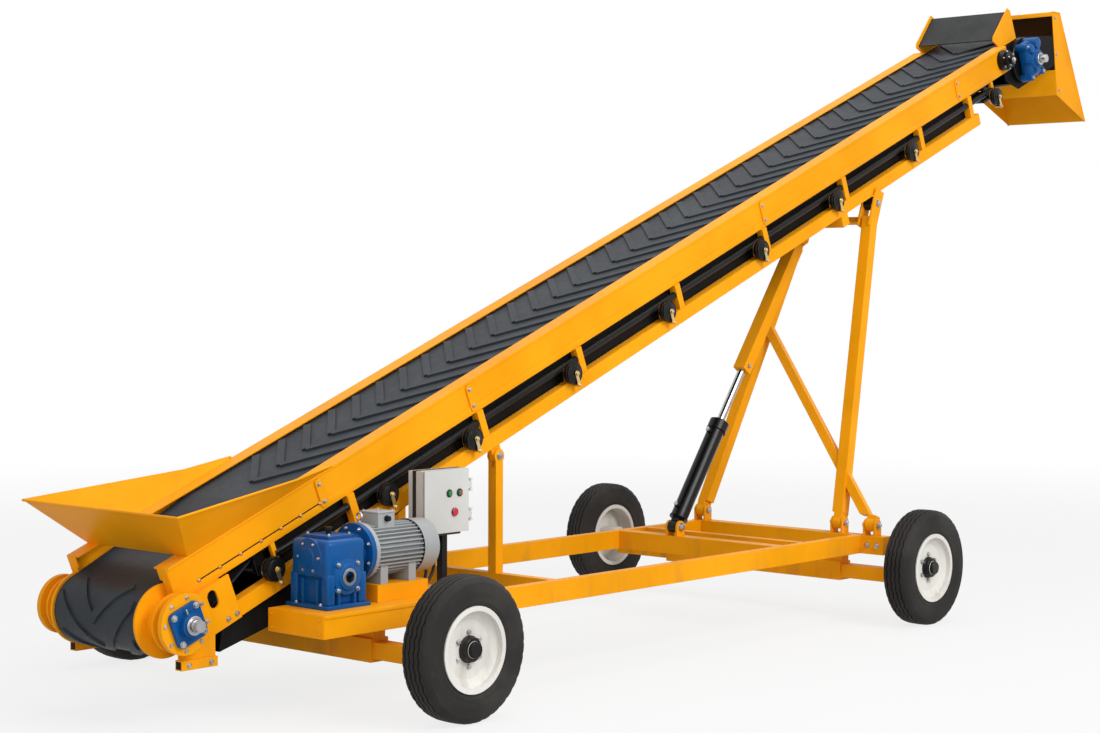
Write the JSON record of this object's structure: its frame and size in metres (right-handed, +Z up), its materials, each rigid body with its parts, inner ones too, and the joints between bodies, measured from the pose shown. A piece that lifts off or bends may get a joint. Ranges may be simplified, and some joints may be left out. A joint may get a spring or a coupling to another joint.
{
  "type": "mobile stacking conveyor",
  "caption": "Inclined chevron-belt conveyor on a wheeled chassis, lifted by a ram and a rolling support frame, with a tail hopper, belt drive and head hood.",
  "frame": {"origin": "on the floor under the middle of the overall length, on the centre line of the belt", "axes": "+X along the conveyor from tail to head, -Y towards the drive side, +Z up"},
  "size_m": [9.6436, 2.9052, 4.42],
  "materials": {
    "paint_yellow": "amber-yellow satin machine paint",
    "belt_rubber": "slate-grey moulded chevron belting",
    "tyre_rubber": "charcoal road tyre",
    "rim_white": "off-white painted disc wheel",
    "drive_blue": "gloss blue cast housings",
    "motor_grey": "light grey motor paint",
    "panel_grey": "light grey powder coat",
    "roller_black": "black painted steel",
    "ram_black": "gloss black cylinder paint",
    "rod_chrome": "polished chrome rod",
    "cable_black": "black cable sheath",
    "button_plastic": "glossy coloured push buttons"
  },
  "bodies": {
    "chassis": {"axle_front": "paint_yellow", "axle_rear": "paint_yellow", "chassis_rails": "paint_yellow", "chassis_crossmembers": "paint_yellow", "rear_beam": "paint_yellow", "drive_platform": "paint_yellow", "front_posts": "paint_yellow", "ram_clevis": "paint_yellow", "support_feet": "paint_yellow", "drive_gearbox": "drive_blue", "drive_motor": "motor_grey", "motor_base": "paint_yellow", "control_box": "panel_grey", "control_post": "paint_yellow", "control_cables": "cable_black"},
    "boom": {"stringer_joint_plates": "paint_yellow", "stringer_near": "paint_yellow", "stringer_far": "paint_yellow", "lower_rails": "paint_yellow", "boom_posts": "paint_yellow", "boom_cross_ties": "paint_yellow", "guard_pan": "roller_black", "slider_deck": "paint_yellow", "return_rollers": "roller_black", "roller_hangers": "roller_black", "belt": "belt_rubber", "tail_drum": "roller_black", "head_drum": "roller_black", "tail_brackets": "paint_yellow", "drum_bearings": "drive_blue", "hopper": "paint_yellow", "head_side_plates": "paint_yellow", "head_gearbox": "drive_blue", "head_hub": "roller_black", "head_cover": "roller_black", "cover_cheeks": "paint_yellow", "hood": "paint_yellow", "boom_pivot_lugs": "paint_yellow", "lift_beam": "paint_yellow"},
    "door": {"control_door": "panel_grey", "control_buttons": "button_plastic"},
    "support_frame": {"support_leg_near": "paint_yellow", "support_leg_far": "paint_yellow", "support_brace": "paint_yellow", "support_rollers": "roller_black"},
    "ram_cylinder": {"ram_barrel": "ram_black"},
    "ram_piston": {"ram_rod": "rod_chrome", "ram_extension": "paint_yellow"},
    "wheel_front_near": {"tyre_front_near": "tyre_rubber", "rim_front_near": "rim_white"},
    "wheel_front_far": {"tyre_front_far": "tyre_rubber", "rim_front_far": "rim_white"},
    "wheel_rear_near": {"tyre_rear_near": "tyre_rubber", "rim_rear_near": "rim_white"},
    "wheel_rear_far": {"tyre_rear_far": "tyre_rubber", "rim_rear_far": "rim_white"}
  },
  "joints": [
    {"name": "boom_lift", "type": "hinge", "parent": "chassis", "child": "boom", "pos_m": [-2.293, 0, 1.22516], "axis": [0, -1, 0], "range_deg": [-8, 2]},
    {"name": "support_swing", "type": "hinge", "parent": "chassis", "child": "support_frame", "pos_m": [0.777, 0, 0.62], "axis": [0, -1, 0], "range_deg": [-21.5, 5.5]},
    {"name": "ram_swing", "type": "hinge", "parent": "chassis", "child": "ram_cylinder", "pos_m": [-0.123, 0, 0.61], "axis": [0, -1, 0], "range_deg": [-11.6, 3]},
    {"name": "ram_stroke", "type": "slide", "parent": "ram_cylinder", "child": "ram_piston", "axis": [0.5832, 0, 0.8123], "range_m": [-0.29, 0.08]},
    {"name": "control_door_hinge", "type": "hinge", "parent": "chassis", "child": "door", "pos_m": [-2.746, -0.632, 0.85], "axis": [0, 0, 1], "range_deg": [0, 105]},
    {"name": "wheel_front_near_spin", "type": "hinge", "parent": "chassis", "child": "wheel_front_near", "pos_m": [-3.543, -1.36, 0.375], "axis": [0, 1, 0], "continuous": true},
    {"name": "wheel_front_far_spin", "type": "hinge", "parent": "chassis", "child": "wheel_front_far", "pos_m": [-3.543, 1.36, 0.375], "axis": [0, 1, 0], "continuous": true},
    {"name": "wheel_rear_near_spin", "type": "hinge", "parent": "chassis", "child": "wheel_rear_near", "pos_m": [0.782, -1.36, 0.375], "axis": [0, 1, 0], "continuous": true},
    {"name": "wheel_rear_far_spin", "type": "hinge", "parent": "chassis", "child": "wheel_rear_far", "pos_m": [0.782, 1.36, 0.375], "axis": [0, 1, 0], "continuous": true}
  ],
  "couplings": [
    {"joint": "support_swing", "follows": "boom_lift", "ratio": 2.59},
    {"joint": "ram_swing", "follows": "boom_lift", "ratio": 1.4},
    {"joint": "ram_stroke", "follows": "boom_lift", "m_per_rad": 2.03}
  ]
}
